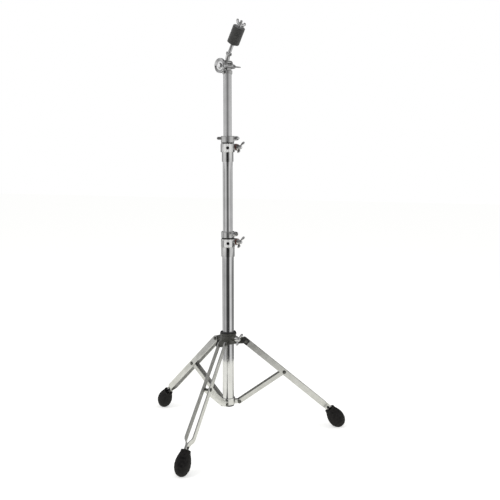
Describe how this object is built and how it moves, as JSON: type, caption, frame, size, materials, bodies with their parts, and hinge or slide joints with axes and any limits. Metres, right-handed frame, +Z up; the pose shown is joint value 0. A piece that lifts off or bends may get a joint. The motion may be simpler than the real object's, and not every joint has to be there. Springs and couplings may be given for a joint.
{
  "type": "straight cymbal stand",
  "caption": "Folding tripod stand for a cymbal: double-strip legs with struts, telescoping chrome tubes, clamp collars, memory locks and a tilting rod with felts.",
  "frame": {"origin": "on the floor, under the middle of the bounding box of the open stand", "axes": "+Z up along the tubes, -Y along one leg, which is the front leg in the picture"},
  "size_m": [0.5346, 0.4674, 1.0194],
  "materials": {
    "chrome": "bright chrome plate on steel tube and strip",
    "cast_chrome": "chrome plate on castings",
    "black_steel": "blackened steel",
    "nylon": "black nylon",
    "rubber": "matt black rubber",
    "felt": "black pressed felt",
    "fibre": "red-brown vulcanised fibre"
  },
  "bodies": {
    "tripod_hub": {"leg_hub": "nylon", "hub_bush": "nylon"},
    "hub_wing": {"hub_wing_bolt": "chrome"},
    "base_column": {"base_tube": "chrome", "base_plug": "nylon", "strut_hub": "cast_chrome", "lower_collar": "cast_chrome", "lower_bush": "nylon", "lower_clamp_bolt": "chrome", "lower_washer": "fibre", "lower_collar_screw": "black_steel"},
    "leg_1": {"leg_strip_a_1": "chrome", "leg_strip_b_1": "chrome", "pivot_cap_1": "nylon", "leg_pivot_pin_1": "black_steel", "strut_rivet_1": "black_steel", "foot_rivet_1": "black_steel", "foot_1": "rubber"},
    "leg_2": {"leg_strip_a_2": "chrome", "leg_strip_b_2": "chrome", "pivot_cap_2": "nylon", "leg_pivot_pin_2": "black_steel", "strut_rivet_2": "black_steel", "foot_rivet_2": "black_steel", "foot_2": "rubber"},
    "leg_3": {"leg_strip_a_3": "chrome", "leg_strip_b_3": "chrome", "pivot_cap_3": "nylon", "leg_pivot_pin_3": "black_steel", "strut_rivet_3": "black_steel", "foot_rivet_3": "black_steel", "foot_3": "rubber"},
    "strut_arm_1": {"strut_1": "chrome"},
    "strut_arm_2": {"strut_2": "chrome"},
    "strut_arm_3": {"strut_3": "chrome"},
    "lower_wing": {"lower_wing_nut": "chrome"},
    "lower_lock": {"lower_memory_lock": "cast_chrome", "lower_lock_screw": "chrome"},
    "middle_column": {"middle_tube": "chrome", "upper_collar": "cast_chrome", "upper_bush": "nylon", "upper_clamp_bolt": "chrome", "upper_washer": "fibre", "upper_collar_screw": "black_steel"},
    "upper_wing": {"upper_wing_nut": "chrome"},
    "upper_lock": {"upper_memory_lock": "cast_chrome", "upper_lock_screw": "chrome"},
    "top_column": {"top_tube": "chrome", "tilter_base": "cast_chrome", "tilter_disc": "chrome", "tilter_screw": "chrome"},
    "tilter_wing": {"tilter_wing_nut": "chrome"},
    "tilter_head": {"tilter_arm": "cast_chrome", "cymbal_rod": "chrome", "rod_nut": "chrome", "cymbal_sleeve": "nylon", "lower_felt": "felt"},
    "felt_top": {"upper_felt": "felt", "cymbal_washer": "chrome"},
    "cymbal_nut": {"cymbal_wing_nut": "chrome"}
  },
  "joints": [
    {"name": "tripod_fold", "type": "slide", "parent": "tripod_hub", "child": "base_column", "axis": [0, 0, -1], "range_m": [0, 0.10783]},
    {"name": "leg_1_fold", "type": "hinge", "parent": "tripod_hub", "child": "leg_1", "pos_m": [0, 0.03056, 0.23997], "axis": [1, 0, 0], "range_deg": [0, 46.5]},
    {"name": "strut_1_fold", "type": "hinge", "parent": "leg_1", "child": "strut_arm_1", "pos_m": [0, -0.06906, 0.15489], "axis": [1, 0, 0], "range_deg": [-95.44, 0]},
    {"name": "leg_2_fold", "type": "hinge", "parent": "tripod_hub", "child": "leg_2", "pos_m": [0.03637, 0.09356, 0.23997], "axis": [-0.5, 0.866, 0], "range_deg": [0, 46.5]},
    {"name": "strut_2_fold", "type": "hinge", "parent": "leg_2", "child": "strut_arm_2", "pos_m": [0.12264, 0.14336, 0.15489], "axis": [-0.5, 0.866, 0], "range_deg": [-95.44, 0]},
    {"name": "leg_3_fold", "type": "hinge", "parent": "tripod_hub", "child": "leg_3", "pos_m": [-0.03637, 0.09356, 0.23997], "axis": [-0.5, -0.866, 0], "range_deg": [0, 46.5]},
    {"name": "strut_3_fold", "type": "hinge", "parent": "leg_3", "child": "strut_arm_3", "pos_m": [-0.12264, 0.14336, 0.15489], "axis": [-0.5, -0.866, 0], "range_deg": [-95.44, 0]},
    {"name": "hub_wing_turn", "type": "hinge", "parent": "tripod_hub", "child": "hub_wing", "pos_m": [0.02685, 0.05706, 0.25047], "axis": [0.866, -0.5, 0], "continuous": true},
    {"name": "lower_wing_turn", "type": "hinge", "parent": "base_column", "child": "lower_wing", "pos_m": [0.01225, 0.09377, 0.488], "axis": [0.866, -0.5, 0], "continuous": true},
    {"name": "lower_lock_swivel", "type": "hinge", "parent": "base_column", "child": "lower_lock", "pos_m": [0, 0.07256, 0.506], "axis": [0, 0, 1], "continuous": true},
    {"name": "middle_slide", "type": "slide", "parent": "lower_lock", "child": "middle_column", "axis": [0, 0, 1], "range_m": [-0.168, 0.12]},
    {"name": "upper_wing_turn", "type": "hinge", "parent": "middle_column", "child": "upper_wing", "pos_m": [0.01225, 0.09377, 0.72], "axis": [0.866, -0.5, 0], "continuous": true},
    {"name": "upper_lock_swivel", "type": "hinge", "parent": "middle_column", "child": "upper_lock", "pos_m": [0, 0.07256, 0.738], "axis": [0, 0, 1], "continuous": true},
    {"name": "top_slide", "type": "slide", "parent": "upper_lock", "child": "top_column", "axis": [0, 0, 1], "range_m": [-0.142, 0.17]},
    {"name": "tilter_wing_turn", "type": "hinge", "parent": "top_column", "child": "tilter_wing", "pos_m": [0, 0.07256, 0.913], "axis": [0.454, 0.891, 0], "continuous": true},
    {"name": "tilter_tilt", "type": "hinge", "parent": "top_column", "child": "tilter_head", "pos_m": [0, 0.07256, 0.913], "axis": [0.454, 0.891, 0], "range_deg": [-106, 48]},
    {"name": "felt_lift", "type": "slide", "parent": "tilter_head", "child": "felt_top", "axis": [0.4722, -0.2406, 0.848], "range_m": [0, 0.0101]},
    {"name": "cymbal_nut_turn", "type": "hinge", "parent": "felt_top", "child": "cymbal_nut", "pos_m": [0.0437, 0.05029, 1.01108], "axis": [0.4722, -0.2406, 0.848], "range_deg": [0, 3600]}
  ],
  "couplings": [
    {"joint": "leg_1_fold", "follows": "tripod_fold", "rad_per_m": 7.5264},
    {"joint": "strut_1_fold", "follows": "tripod_fold", "rad_per_m": -15.446},
    {"joint": "leg_2_fold", "follows": "tripod_fold", "rad_per_m": 7.5264},
    {"joint": "strut_2_fold", "follows": "tripod_fold", "rad_per_m": -15.446},
    {"joint": "leg_3_fold", "follows": "tripod_fold", "rad_per_m": 7.5264},
    {"joint": "strut_3_fold", "follows": "tripod_fold", "rad_per_m": -15.446},
    {"joint": "felt_lift", "follows": "cymbal_nut_turn", "m_per_rad": 0.00015915}
  ]
}
